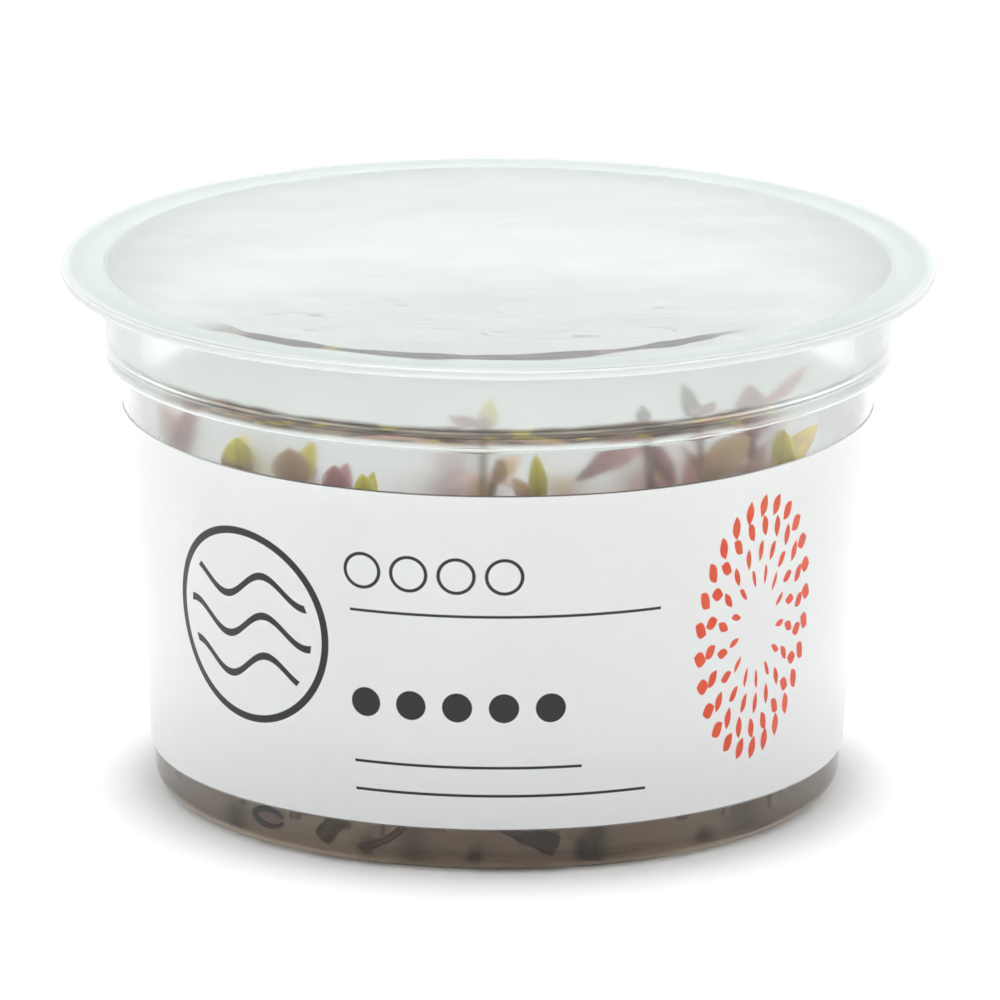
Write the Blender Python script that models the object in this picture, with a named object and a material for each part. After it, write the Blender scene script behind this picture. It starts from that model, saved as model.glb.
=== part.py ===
"""Rotala shoots growing in a sealed tissue-culture cup.

A clear moulded cup holds a bed of growth gel with young rotala shoots standing in
it. A clear film is sealed over the flange, and a label wraps the tapered body.
Units are metres, +Z is up, and the origin is the middle of the cup's underside.
The front of the cup, which the label is read from, faces -Y.
"""

import math
from collections import namedtuple

import bmesh
import bpy
from mathutils import Matrix, Quaternion, Vector

MM = 0.001
GAP = 0.3 * MM  # between pieces that touch
MERGE = 0.001 * MM
SEGMENTS = 48  # round each turned piece

# Cup
BODY_FOOT_RADIUS = 39.6 * MM  # outside, where the taper would meet the ground
BODY_TAPER = 0.083  # growth of the radius for each unit of height
BASE_CORNER = 2.6 * MM
WALL = 0.65 * MM
FLOOR = 0.8 * MM
FLOOR_CORNER = 2.0 * MM
STEP_HEIGHT = 51.3 * MM  # underside of the shoulder ring
STEP_CORNER = 0.7 * MM
LEDGE_HEIGHT = 52.7 * MM  # inside, where the body opens into the shoulder
LEDGE_CORNER = 1.6 * MM
SHOULDER_RADIUS = 45.9 * MM
SHOULDER_WALL = 0.75 * MM
FLANGE_RADIUS = 50.5 * MM
FLANGE_TOP = 62.0 * MM
FLANGE_THICKNESS = 0.7 * MM
BEAD_WIDTH = 0.9 * MM  # the thicker outer edge of the flange
BEAD_DEPTH = 1.1 * MM
EDGE_ROUND = 0.3 * MM

# Lid film
FILM_RADIUS = 50.4 * MM
FILM_THICKNESS = 0.2 * MM
FILM_SAG = 0.8 * MM

# Label
LABEL_LOW = 5.4 * MM
LABEL_HIGH = 45.7 * MM
LABEL_THICKNESS = 0.25 * MM
LABEL_SEAM = 0.6 * MM  # between the label's two ends, at the back

# Growth gel
GEL_TOP = 13.8 * MM
GEL_RIM = 0.9 * MM  # how far the gel creeps up the wall
GEL_CREEP = 2.4 * MM

# Shoots
STEM_FOOT_HEIGHT = 3.0 * MM
STEM_FOOT_WIDTH = 1.5 * MM
STEM_TIP_WIDTH = 0.8 * MM
BARE_STEM = 0.22  # fraction of the stem where its one bare joint is
NODE_LENGTH = 1.0 * MM  # of stem that a leaf pair grows from
LEAF_THICKNESS = 0.35 * MM
LEAF_WIDTH = 0.44  # of the leaf's usual length
LEAF_MARGIN = 0.6 * MM  # kept free between a leaf and its neighbours or the wall

# Leaf pairs from the lowest up: place along the stem, length as a share of the
# shoot's leaf length, and rise above the horizontal in degrees
LeafPair = namedtuple("LeafPair", "place length rise")
LEAF_PAIRS = (
    LeafPair(0.44, 0.85, 20),
    LeafPair(0.59, 1.00, 30),
    LeafPair(0.73, 1.00, 38),
    LeafPair(0.86, 0.90, 50),
    LeafPair(0.96, 0.70, 68),
)

# Each shoot's foot (x, y), head (x, y, z), turn about its stem in degrees, leaf
# length, and how red it is from 0, yellow-green, to 1. Millimetres.
Shoot = namedtuple("Shoot", "foot head turn leaf redness")
SHOOTS = (
    Shoot((-33.0, -8.0), (-36.0, -13.5, 43.5), 30, 8.0, 0.9),
    Shoot((-27.5, -20.0), (-29.4, -24.5, 43.0), 0, 8.0, 0.2),
    Shoot((-21.5, -24.5), (-23.2, -26.6, 43.5), 0, 8.0, 0.6),
    Shoot((-16.5, -28.5), (-18.3, -31.0, 42.0), -20, 7.0, 0.9),
    Shoot((-13.0, -33.0), (-15.0, -36.0, 41.5), -20, 6.0, 0.1),
    Shoot((-6.0, -28.0), (0.0, -27.6, 44.5), -30, 7.0, 0.7),
    Shoot((-2.0, -15.0), (-1.6, -16.0, 46.0), 0, 8.0, 0.6),
    Shoot((6.0, -31.0), (4.6, -34.2, 43.0), 0, 7.0, 0.2),
    Shoot((19.5, -23.5), (16.6, -26.5, 49.5), 0, 9.0, 1.0),
    Shoot((24.5, -22.0), (22.8, -19.5, 48.0), 30, 9.0, 0.8),
    Shoot((29.5, -13.5), (29.0, -15.5, 46.5), -20, 9.0, 0.9),
    Shoot((30.5, -20.5), (31.8, -22.7, 44.0), -38, 8.0, 0.2),
    Shoot((-12.0, -9.0), (-13.5, -8.0, 32.5), 50, 8.0, 0.8),
    Shoot((8.0, -10.0), (8.5, -9.0, 33.0), 5, 8.0, 0.9),
    Shoot((19.0, -6.0), (19.5, -5.5, 38.5), 90, 8.0, 0.7),
    Shoot((-34.0, 5.0), (-35.5, 4.0, 32.0), 80, 7.0, 0.8),
    Shoot((-21.0, 7.0), (-22.0, 8.0, 31.5), 25, 7.0, 1.0),
    Shoot((8.0, 7.0), (7.5, 8.5, 31.5), 40, 7.0, 0.3),
    Shoot((32.0, 10.0), (34.0, 10.5, 31.5), 50, 7.0, 0.7),
    Shoot((-27.0, 22.0), (-28.5, 23.5, 31.5), 70, 7.0, 0.3),
    Shoot((-6.0, 20.0), (-5.5, 21.5, 31.0), 30, 7.0, 0.8),
    Shoot((16.0, 24.0), (17.0, 25.5, 31.0), 55, 7.0, 0.5),
)

# Some of the leaves, by the shoot's number, then the leaf pair and the side of the
# stem, which both count from 0: where the tip lies, the width, and how far the blade
# turns about its own length in degrees. Millimetres.
Leaf = namedtuple("Leaf", "tip width twist")
LEAVES = {
    (1, 3, 1): Leaf((-38.0, -14.2, 42.2), 2.8, 0),
    (1, 3, 3): Leaf((-31.6, -9.6, 39.6), 2.8, 0),
    (1, 4, 0): Leaf((-38.4, -13.2, 48.8), 2.8, 0),
    (1, 4, 2): Leaf((-34.8, -16.4, 49.4), 3.0, 0),
    (2, 4, 0): Leaf((-29.0, -22.4, 47.4), 3.6, 0),
    (2, 4, 2): Leaf((-29.5, -28.0, 48.6), 4.0, 0),
    (3, 4, 0): Leaf((-20.8, -25.4, 47.4), 2.8, 0),
    (3, 4, 2): Leaf((-23.7, -28.8, 47.6), 4.4, 0),
    (4, 4, 0): Leaf((-17.0, -30.2, 46.2), 3.0, 0),
    (4, 4, 2): Leaf((-18.3, -34.2, 47.0), 3.8, 0),
    (5, 4, 0): Leaf((-14.0, -35.0, 46.4), 2.6, 0),
    (5, 4, 2): Leaf((-15.2, -38.2, 47.1), 3.2, 0),
    (6, 3, 1): Leaf((-5.4, -28.6, 39.6), 2.6, 0),
    (6, 3, 3): Leaf((2.6, -30.4, 39.6), 2.6, 0),
    (6, 4, 0): Leaf((2.6, -25.4, 45.8), 2.4, 0),
    (6, 4, 2): Leaf((0.7, -30.0, 46.6), 2.0, 0),
    (7, 3, 1): Leaf((-6.4, -14.6, 38.4), 3.0, 0),
    (7, 3, 3): Leaf((3.6, -14.6, 38.4), 3.0, 0),
    (7, 4, 0): Leaf((-0.8, -14.2, 49.4), 2.6, 0),
    (7, 4, 2): Leaf((-5.6, -18.2, 48.4), 3.0, 0),
    (8, 4, 0): Leaf((1.6, -33.0, 45.2), 2.2, 0),
    (8, 4, 2): Leaf((4.3, -37.6, 49.2), 2.2, 0),
    (9, 2, 0): Leaf((18.5, -20.5, 40.0), 3.0, 0),
    (9, 2, 2): Leaf((17.2, -31.0, 41.0), 3.0, 0),
    (9, 3, 1): Leaf((13.0, -24.4, 38.6), 3.0, 0),
    (9, 3, 3): Leaf((21.4, -27.4, 38.8), 3.0, 0),
    (9, 4, 0): Leaf((20.4, -24.4, 41.6), 2.4, 0),
    (9, 4, 2): Leaf((8.6, -29.0, 43.6), 2.8, 0),
    (10, 3, 1): Leaf((20.6, -23.4, 46.6), 2.4, 0),
    (10, 3, 3): Leaf((28.6, -22.6, 47.2), 4.4, 40),
    (10, 4, 0): Leaf((21.0, -18.2, 52.4), 2.6, 0),
    (10, 4, 2): Leaf((24.6, -21.4, 51.2), 2.8, 0),
    (11, 4, 0): Leaf((35.4, -13.0, 53.4), 2.2, 0),
    (11, 4, 2): Leaf((28.8, -18.2, 52.4), 4.0, 0),
    (12, 3, 1): Leaf((28.0, -18.4, 39.4), 2.8, 0),
    (12, 4, 0): Leaf((36.2, -21.6, 48.6), 3.2, 0),
    (12, 4, 2): Leaf((32.4, -26.6, 49.3), 3.4, 0),
}

# Old stem pieces that lie in the gel against the front wall: width, then the
# points that they pass as (x, z). Millimetres.
Offcut = namedtuple("Offcut", "width points")
OFFCUTS = (
    Offcut(2.3, ((-19.4, 2.6), (-17.4, 5.6), (-15.6, 8.6))),
    Offcut(0.9, ((-15.3, 2.2), (-13.0, 3.0), (-10.6, 5.0), (-9.4, 8.0))),
    Offcut(2.5, ((6.6, 2.9), (2.2, 5.2), (-2.4, 8.0))),
)

# The curled leaf, a bent strip that lies against the wall at the lower left
CURL_ANGLE = -42.0  # degrees round from the front
CURL_HEIGHT = 3.6 * MM
CURL_HALF_LENGTH = 2.5 * MM
CURL_HALF_HEIGHT = 1.3 * MM
CURL_STRIP = 0.6 * MM
CURL_DEPTH = 0.9 * MM
CURL_STEPS = 10

PLASTIC_COLOUR = (0.86, 0.89, 0.88)
LABEL_COLOUR = (0.86, 0.88, 0.88)
GEL_COLOUR = (0.33, 0.27, 0.21)
OFFCUT_COLOUR = (0.09, 0.06, 0.02)
CURL_COLOUR = (0.12, 0.05, 0.05)
GREEN_LEAF = (0.45, 0.48, 0.06)
RED_LEAF = (0.26, 0.08, 0.09)


def clear_scene():
    for obj in list(bpy.data.objects):
        bpy.data.objects.remove(obj, do_unlink=True)


def make_material(name, colour, roughness, transmission=0.0):
    material = bpy.data.materials.new(name)
    material.use_nodes = True
    shader = material.node_tree.nodes["Principled BSDF"]
    shader.inputs["Base Color"].default_value = (*colour, 1.0)
    shader.inputs["Roughness"].default_value = roughness
    shader.inputs["Metallic"].default_value = 0.0
    shader.inputs["Transmission Weight"].default_value = transmission
    return material


def finish_mesh(name, bm, material=None):
    """Makes the named object of a closed bmesh, smooth but for its corners."""
    bmesh.ops.recalc_face_normals(bm, faces=bm.faces)
    mesh = bpy.data.meshes.new(name)
    bm.to_mesh(mesh)
    bm.free()
    if material:
        mesh.materials.append(material)
    mesh.shade_smooth()
    mesh.set_sharp_from_angle(angle=math.radians(35))
    obj = bpy.data.objects.new(name, mesh)
    bpy.context.scene.collection.objects.link(obj)
    return obj


def arc(centre, radius, start, end, steps):
    """Profile points (r, z) along an arc, with its angles in degrees."""
    points = []
    for i in range(steps + 1):
        angle = math.radians(start + (end - start) * i / steps)
        points.append((centre[0] + radius * math.cos(angle), centre[1] + radius * math.sin(angle)))
    return points


def turned(name, profile, material):
    """A solid of revolution from a profile that starts and ends on the axis."""
    bm = bmesh.new()
    verts = [bm.verts.new((r, 0.0, z)) for r, z in profile]
    edges = [bm.edges.new(pair) for pair in zip(verts, verts[1:])]
    bmesh.ops.spin(
        bm,
        geom=verts + edges,
        cent=(0, 0, 0),
        axis=(0, 0, 1),
        angle=math.tau,
        steps=SEGMENTS,
        use_merge=True,
    )
    bmesh.ops.remove_doubles(bm, verts=bm.verts, dist=MERGE)
    return finish_mesh(name, bm, material)


def outer_radius(z):
    """Outside of the tapered body at height z."""
    return BODY_FOOT_RADIUS + BODY_TAPER * z


def inner_radius(z):
    """Inside of the tapered body at height z."""
    return outer_radius(z) - WALL


def floor_corner(shrink):
    """The rounded inside corner of the cup, or of what lies this far inside it."""
    height = FLOOR + FLOOR_CORNER
    centre = (inner_radius(height) - FLOOR_CORNER, height)
    return arc(centre, FLOOR_CORNER - shrink, -90, 0, 3)


def make_cup():
    base_centre = (outer_radius(BASE_CORNER) - BASE_CORNER, BASE_CORNER)
    step_centre = (SHOULDER_RADIUS - STEP_CORNER, STEP_HEIGHT + STEP_CORNER)
    shoulder_inside = SHOULDER_RADIUS - SHOULDER_WALL
    ledge_centre = (shoulder_inside - LEDGE_CORNER, LEDGE_HEIGHT + LEDGE_CORNER)
    flange_under = FLANGE_TOP - FLANGE_THICKNESS
    bead_under = FLANGE_TOP - BEAD_DEPTH
    outside = [(0.0, 0.0)]
    outside += arc(base_centre, BASE_CORNER, -90, 0, 3)
    outside.append((outer_radius(STEP_HEIGHT - STEP_CORNER), STEP_HEIGHT - STEP_CORNER))
    outside.append((outer_radius(STEP_HEIGHT) + EDGE_ROUND, STEP_HEIGHT))
    outside += arc(step_centre, STEP_CORNER, -90, 0, 2)
    outside.append((SHOULDER_RADIUS, flange_under))
    outside.append((FLANGE_RADIUS - BEAD_WIDTH, flange_under))
    outside.append((FLANGE_RADIUS - BEAD_WIDTH, bead_under))
    outside.append((FLANGE_RADIUS - EDGE_ROUND, bead_under))
    outside.append((FLANGE_RADIUS, bead_under + EDGE_ROUND))
    outside.append((FLANGE_RADIUS, FLANGE_TOP - EDGE_ROUND))
    outside.append((FLANGE_RADIUS - EDGE_ROUND, FLANGE_TOP))
    inside = [(shoulder_inside + EDGE_ROUND, FLANGE_TOP)]
    inside.append((shoulder_inside, FLANGE_TOP - EDGE_ROUND))
    inside += arc(ledge_centre, LEDGE_CORNER, 0, -90, 2)
    inside.append((inner_radius(LEDGE_HEIGHT), LEDGE_HEIGHT - EDGE_ROUND))
    inside += reversed(floor_corner(0.0))
    inside.append((0.0, FLOOR))
    plastic = make_material("clear_plastic", PLASTIC_COLOUR, 0.15, 1.0)
    turned("cup", outside + inside, plastic)


def make_lid_film():
    under = FLANGE_TOP + GAP
    mouth = SHOULDER_RADIUS - SHOULDER_WALL - GAP
    lower = [(0.0, under - FILM_SAG), (mouth, under), (FILM_RADIUS, under)]
    upper = [(r, z + FILM_THICKNESS) for r, z in reversed(lower)]
    turned("lid_film", lower + upper, make_material("clear_film", PLASTIC_COLOUR, 0.12, 1.0))


def make_label():
    """A band round the body, spun from its cross-section and closed at both ends."""
    bm = bmesh.new()
    section = []
    for z, offset in (
        (LABEL_LOW, GAP),
        (LABEL_LOW, GAP + LABEL_THICKNESS),
        (LABEL_HIGH, GAP + LABEL_THICKNESS),
        (LABEL_HIGH, GAP),
    ):
        section.append(bm.verts.new((0.0, outer_radius(z) + offset, z)))
    half_seam = LABEL_SEAM / 2 / outer_radius(LABEL_HIGH)
    bmesh.ops.rotate(bm, verts=section, matrix=Matrix.Rotation(half_seam, 3, "Z"))
    edges = [bm.edges.new((section[i], section[(i + 1) % 4])) for i in range(4)]
    spun = bmesh.ops.spin(
        bm,
        geom=section + edges,
        cent=(0, 0, 0),
        axis=(0, 0, 1),
        angle=math.tau - 2 * half_seam,
        steps=SEGMENTS,
    )
    end_edges = [item for item in spun["geom_last"] if isinstance(item, bmesh.types.BMEdge)]
    bmesh.ops.contextual_create(bm, geom=edges)
    bmesh.ops.contextual_create(bm, geom=end_edges)
    finish_mesh("label", bm, make_material("label_white", LABEL_COLOUR, 0.4))


def stem_point(shoot, share):
    """The stem's centre at a share of its length: it rises, then leans to its head."""
    foot = Vector((*shoot.foot, STEM_FOOT_HEIGHT / MM)) * MM
    head = Vector(shoot.head) * MM
    knee = Vector((foot.x, foot.y, (foot.z + head.z) / 2))
    return foot.lerp(knee, share).lerp(knee.lerp(head, share), share)


def stem_point_at(shoot, z):
    """The stem's centre at height z, or its head above that."""
    foot, head = STEM_FOOT_HEIGHT, shoot.head[2] * MM
    return stem_point(shoot, min(1.0, max(0.0, (z - foot) / (head - foot))))


def leaf_room(shoot, point, z):
    """How far a leaf may reach out at height z: half-way to the next stem, or the wall."""
    room = inner_radius(z) - point.to_2d().length
    for other in SHOOTS:
        if other is not shoot:
            away = (stem_point_at(other, z) - point).to_2d().length
            room = min(room, away / 2)
    return room - LEAF_MARGIN


def section_corners(centre, along, turn, half_width):
    """Four corners round a stem, square to its direction."""
    level = Vector((math.cos(turn), math.sin(turn), 0.0))
    side = (level - level.project(along)).normalized()
    front = along.cross(side)
    corners = []
    for across, forward in ((1, 1), (-1, 1), (-1, -1), (1, -1)):
        corners.append(centre + (side * across + front * forward) * half_width)
    return corners


def add_leaf(bm, shoot, pair, root, leaf):
    """Grows a blade from the four corners of its root: a broad middle, then a point."""
    start = sum((vert.co for vert in root), Vector()) / 4
    across = (root[1].co - root[0].co).normalized()
    up = (root[3].co - root[0].co).normalized()
    out = across.cross(up)
    usual = shoot.leaf * MM * pair.length
    if leaf:
        course = Vector(leaf.tip) * MM - start
        width, twist = leaf.width * MM, math.radians(leaf.twist)
    else:
        tip_height = start.z + usual * math.sin(math.radians(pair.rise))
        room = min(leaf_room(shoot, start, z) for z in (start.z, tip_height))
        rise = max(math.radians(pair.rise), math.acos(min(1.0, max(0.2, room / usual))))
        course = (out * math.cos(rise) + up * math.sin(rise)) * usual
        width, twist = usual * LEAF_WIDTH, 0.0
    across = (across - across.project(course)).normalized()
    across.rotate(Quaternion(course.normalized(), twist))
    normal = course.cross(across).normalized()
    half_width = across * width / 2
    half_thickness = normal * LEAF_THICKNESS / 2
    middle = start + course * 0.5 + normal * usual * 0.05
    corners = (
        middle - half_width - half_thickness,
        middle + half_width - half_thickness,
        middle + half_width + half_thickness,
        middle - half_width + half_thickness,
    )
    blade = [bm.verts.new(corner) for corner in corners]
    point = bm.verts.new(start + course)
    for i in range(4):
        j = (i + 1) % 4
        bm.faces.new((root[i], root[j], blade[j], blade[i]))
        bm.faces.new((blade[i], blade[j], point))


def make_shoot(number, shoot):
    """A stem with leaf pairs that turn a quarter from one pair to the next."""
    length = (shoot.head[2] * MM) - STEM_FOOT_HEIGHT
    half_node = NODE_LENGTH / 2 / length
    shares = [0.0, BARE_STEM]
    for pair in LEAF_PAIRS:
        shares += [pair.place - half_node, pair.place + half_node]
    shares.append(1.0)
    bm = bmesh.new()
    rings = []
    for share in shares:
        along = stem_point(shoot, share + 0.01) - stem_point(shoot, share - 0.01)
        width = STEM_FOOT_WIDTH + (STEM_TIP_WIDTH - STEM_FOOT_WIDTH) * share
        centre = stem_point(shoot, share)
        corners = section_corners(centre, along.normalized(), math.radians(shoot.turn), width / 2)
        rings.append([bm.verts.new(corner) for corner in corners])
    for k in range(len(rings) - 1):
        index, is_bare = divmod(k - 2, 2)
        pair = LEAF_PAIRS[index] if k >= 2 and not is_bare and index < len(LEAF_PAIRS) else None
        for side in range(4):
            after = (side + 1) % 4
            root = (rings[k][side], rings[k][after], rings[k + 1][after], rings[k + 1][side])
            if pair and side % 2 == index % 2:
                add_leaf(bm, shoot, pair, root, LEAVES.get((number, index, side)))
            else:
                bm.faces.new(root)
    bm.faces.new(rings[0])
    bm.faces.new(rings[-1])
    red = shoot.redness
    colour = [g + (r - g) * red for g, r in zip(GREEN_LEAF, RED_LEAF)]
    name = f"shoot_{number:02d}"
    finish_mesh(name, bm, make_material(name + "_leaf", colour, 0.45))


def make_rod(name, points, half_width, turn, material=None):
    """A four-sided rod along the given points, square to its path."""
    bm = bmesh.new()
    rings = []
    for i, centre in enumerate(points):
        along = points[min(i + 1, len(points) - 1)] - points[max(i - 1, 0)]
        corners = section_corners(centre, along.normalized(), turn, half_width)
        rings.append([bm.verts.new(corner) for corner in corners])
    for low, high in zip(rings, rings[1:]):
        for side in range(4):
            after = (side + 1) % 4
            bm.faces.new((low[side], low[after], high[after], high[side]))
    bm.faces.new(rings[0])
    bm.faces.new(rings[-1])
    return finish_mesh(name, bm, material)


def against_wall(x, z, inset):
    """The point at x and height z that is this far inside the front wall."""
    radius = inner_radius(z) - inset
    return Vector((x, -math.sqrt(radius * radius - x * x), z))


def offcut_points(offcut):
    inset = GAP + offcut.width / 2 * MM
    return [against_wall(x * MM, z * MM, inset) for x, z in offcut.points]


def way_out(points):
    """The direction from the axis to the middle of a rod by the wall."""
    middle = points[len(points) // 2]
    return math.atan2(middle.y, middle.x)


def make_offcuts():
    for number, offcut in enumerate(OFFCUTS, 1):
        bark = make_material(f"stem_offcut_{number}_bark", OFFCUT_COLOUR, 0.6)
        points = offcut_points(offcut)
        make_rod(f"stem_offcut_{number}", points, offcut.width / 2 * MM, way_out(points), bark)


def curl_frame():
    """The curled leaf's centre, with its directions along the wall and out of it."""
    angle = math.radians(CURL_ANGLE)
    outward = Vector((math.sin(angle), -math.cos(angle), 0.0))
    along = Vector((math.cos(angle), math.sin(angle), 0.0))
    depth = GAP + CURL_DEPTH / 2
    centre = outward * (inner_radius(CURL_HEIGHT) - depth - 0.3 * MM)
    centre.z = CURL_HEIGHT
    return centre, along, outward


def curl_ring(bm, grow, offset):
    """A ring of points that lies in the wall's plane, an oval about the curl's centre."""
    centre, along, outward = curl_frame()
    verts = []
    for i in range(CURL_STEPS):
        angle = math.tau * i / CURL_STEPS
        place = centre + outward * offset
        place += along * math.cos(angle) * (CURL_HALF_LENGTH + grow)
        place.z += math.sin(angle) * (CURL_HALF_HEIGHT + grow)
        verts.append(bm.verts.new(place))
    return verts


def bridge(bm, first, second):
    for i in range(len(first)):
        j = (i + 1) % len(first)
        bm.faces.new((first[i], first[j], second[j], second[i]))


def make_curled_leaf():
    bm = bmesh.new()
    half = CURL_DEPTH / 2
    rings = [
        curl_ring(bm, 0.0, half),
        curl_ring(bm, 0.0, -half),
        curl_ring(bm, -CURL_STRIP, -half),
        curl_ring(bm, -CURL_STRIP, half),
    ]
    for first, second in zip(rings, rings[1:] + rings[:1]):
        bridge(bm, first, second)
    finish_mesh("curled_leaf", bm, make_material("curled_leaf_brown", CURL_COLOUR, 0.5))


def make_curl_cutter():
    """The opening in the gel that the curled leaf lies in, out through the gel's side."""
    bm = bmesh.new()
    inner = curl_ring(bm, GAP, -CURL_DEPTH / 2 - GAP)
    outer = curl_ring(bm, GAP, CURL_DEPTH / 2 + 3 * GAP)
    bridge(bm, inner, outer)
    bm.faces.new(inner)
    bm.faces.new(outer)
    return finish_mesh("curl_cutter", bm)


def make_cutters():
    """Helpers a gap wider than each stem, which the gel's pockets are cut with."""
    cutters = bpy.data.collections.new("cutters")
    bpy.context.scene.collection.children.link(cutters)
    helpers = [make_curl_cutter()]
    for number, offcut in enumerate(OFFCUTS, 1):
        points = offcut_points(offcut)
        reach = GAP + offcut.width / 2 * MM
        points[0] += (points[0] - points[1]).normalized() * GAP
        points[-1] += (points[-1] - points[-2]).normalized() * GAP
        helpers.append(make_rod(f"offcut_cutter_{number}", points, reach, way_out(points)))
    for number, shoot in enumerate(SHOOTS, 1):
        bottom = stem_point(shoot, 0.0) - Vector((0.0, 0.0, GAP))
        top = stem_point_at(shoot, GEL_TOP + 2 * GEL_RIM)
        reach = STEM_FOOT_WIDTH / 2 + GAP
        turn = math.radians(shoot.turn)
        helpers.append(make_rod(f"pocket_cutter_{number}", [bottom, top], reach, turn))
    for helper in helpers:
        bpy.context.scene.collection.objects.unlink(helper)
        cutters.objects.link(helper)
        helper.hide_render = True
        helper.display_type = "WIRE"
    return cutters


def make_growth_gel():
    rim_height = GEL_TOP + GEL_RIM
    rim = inner_radius(rim_height) - GAP
    profile = [(0.0, FLOOR + GAP)]
    profile += floor_corner(GAP)
    profile.append((rim, rim_height))
    profile.append((rim - GEL_CREEP, GEL_TOP))
    profile.append((0.0, GEL_TOP))
    gel = turned("growth_gel", profile, make_material("growth_gel_tint", GEL_COLOUR, 0.1, 0.8))
    pockets = gel.modifiers.new("pockets", "BOOLEAN")
    pockets.operation = "DIFFERENCE"
    pockets.operand_type = "COLLECTION"
    pockets.collection = make_cutters()
    pockets.solver = "EXACT"


def build():
    clear_scene()
    make_cup()
    make_lid_film()
    make_label()
    make_growth_gel()
    make_offcuts()
    make_curled_leaf()
    for number, shoot in enumerate(SHOOTS, 1):
        make_shoot(number, shoot)


build()
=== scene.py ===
import math
import random
from collections import namedtuple

import bpy
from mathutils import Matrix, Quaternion, Vector
from mathutils import noise as perlin


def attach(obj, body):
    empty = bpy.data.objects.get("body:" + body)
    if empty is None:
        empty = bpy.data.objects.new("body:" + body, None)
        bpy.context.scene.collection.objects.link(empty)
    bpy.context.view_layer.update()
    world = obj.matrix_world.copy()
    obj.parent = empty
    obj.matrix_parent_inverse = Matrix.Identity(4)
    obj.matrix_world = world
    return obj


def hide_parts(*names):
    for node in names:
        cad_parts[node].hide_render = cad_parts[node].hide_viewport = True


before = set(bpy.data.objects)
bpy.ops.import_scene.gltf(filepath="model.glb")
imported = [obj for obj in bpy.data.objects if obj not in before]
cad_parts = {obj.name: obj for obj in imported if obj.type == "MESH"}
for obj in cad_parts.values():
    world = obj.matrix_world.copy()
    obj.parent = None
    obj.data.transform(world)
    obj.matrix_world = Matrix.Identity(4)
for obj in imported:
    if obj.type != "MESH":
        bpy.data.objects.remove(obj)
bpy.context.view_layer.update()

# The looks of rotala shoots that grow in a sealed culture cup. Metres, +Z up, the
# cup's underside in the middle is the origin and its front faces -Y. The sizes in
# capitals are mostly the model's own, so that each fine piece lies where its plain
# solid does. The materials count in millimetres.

MM = 0.001

# Cup
BODY_FOOT_RADIUS = 39.6 * MM
BODY_TAPER = 0.083
BASE_CORNER = 2.6 * MM
WALL = 0.65 * MM
FLOOR = 0.8 * MM
FLOOR_CORNER = 2.0 * MM
STEP_HEIGHT = 51.3 * MM
STEP_CORNER = 0.7 * MM
LEDGE_HEIGHT = 52.7 * MM
LEDGE_CORNER = 1.6 * MM
SHOULDER_RADIUS = 45.9 * MM
SHOULDER_WALL = 0.75 * MM
FLANGE_RADIUS = 50.5 * MM
FLANGE_TOP = 62.0 * MM
FLANGE_THICKNESS = 0.7 * MM
BEAD_WIDTH = 0.9 * MM
BEAD_DEPTH = 1.1 * MM
EDGE_ROUND = 0.3 * MM
FLANGE_WAVE = 0.06 * MM
PLASTIC_IOR = 1.49
WET_SPOT = (34.0, -25.8, 47.0)  # millimetres, where a leaf touches the wall
CUP_SEGMENTS = 192

# Lid film
FILM_RADIUS = 50.3 * MM
FILM_THICKNESS = 0.2 * MM
FILM_SAG = 0.8 * MM
FILM_BOND = 0.1 * MM  # how far its underside lies in the flange it is sealed to
FILM_RIPPLE = 0.12 * MM
FILM_CRUMPLE = 0.05 * MM
FILM_RINGS = 90
FILM_IOR = 1.45

# Label
LABEL_LOW = 5.4 * MM
LABEL_HIGH = 45.7 * MM
LABEL_SEAM = 0.04 * MM  # its two ends meet at the back
LABEL_LIFT = 0.05 * MM  # off the wall
LABEL_PAPER = 0.15 * MM
LABEL_STEPS = 240
LABEL_ROWS = 12
LABEL_GLOSS = 0.3
LABEL_GLOW = (0.95, 1.0 * MM)  # how much light goes through it, and its reach

# The label's print, in millimetres round from the front and up from the floor
PRINT_RADIUS = 42.0  # where the lengths round the cup are right
PRINT_INK = (26, 24, 25)
RING_PLACE = (31.5, 27.0)  # to the left of the front, and up
RING_RADIUS = 11.2
RING_LINE = 0.45
WAVE_GAP = 4.8
ROW_START = 15.4  # to the left of the front
ROW_GAP = 5.4
CIRCLES_UP = 36.0
CIRCLE_RADIUS = 2.0
DOTS_UP = 20.2
DOT_RADIUS = 1.75
RULE_LINE = 0.17
Rule = namedtuple("Rule", "up middle half")
RULES = (Rule(31.2, 1.0, 18.0), Rule(13.0, -3.5, 13.5), Rule(9.6, 0.5, 17.5))
WREATH_PLACE = (33.0, 26.6)
WREATH_HALF = (6.0, 10.2)
WREATH_GIRTH = 50.0
LeafRow = namedtuple("LeafRow", "offset count lean")
LEAF_ROWS = (
    LeafRow(-2.9, 13, 0.7),
    LeafRow(-0.7, 18, -0.6),
    LeafRow(1.5, 22, 0.6),
    LeafRow(3.3, 26, -0.5),
)

# Growth gel
GEL_TOP = 13.8 * MM
GEL_RIM = 0.9 * MM
GEL_CREEP = 2.4 * MM
GEL_BOND = 0.2 * MM  # how far its outside lies in the wall, so that no air shows between
GEL_SWELL = 0.25 * MM  # how uneven its top is
GEL_SEGMENTS = 144
GEL_IOR = 1.34
GEL_TINT = (0.59, 0.46, 0.32, 1.0)
GEL_DENSITY = 35.0

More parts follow.
